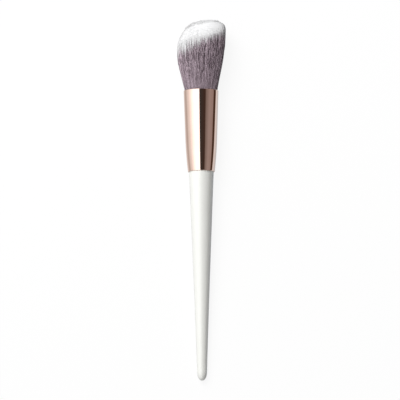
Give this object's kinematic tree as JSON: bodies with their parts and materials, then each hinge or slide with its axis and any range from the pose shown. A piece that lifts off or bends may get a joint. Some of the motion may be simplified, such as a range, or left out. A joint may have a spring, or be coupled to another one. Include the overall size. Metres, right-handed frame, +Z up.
{
  "type": "angled blush brush",
  "caption": "Make-up brush with a slanted, domed oval tuft in a drawn metal ferrule on a slim tapered lacquered handle, lying on its broad side.",
  "frame": {"origin": "middle of the footprint, on the surface that the brush lies on", "axes": "+Y from the butt of the handle towards the tips of the hair, +X towards the long side of the slanted tuft, +Z up from the surface it lies on"},
  "size_m": [0.025, 0.1824, 0.0201],
  "materials": {
    "pearl_lacquer": "birch under gloss pearl white lacquer",
    "rose_gold": "polished rose gold plating",
    "hair": "satin synthetic filaments, mauve grey with white tips",
    "resin": "set amber epoxy, hidden inside the ferrule"
  },
  "bodies": {
    "root": {"handle": "pearl_lacquer", "ferrule": "rose_gold", "hair_tuft": "hair", "root_epoxy": "resin", "handle_glue": "resin"}
  },
  "joints": []
}
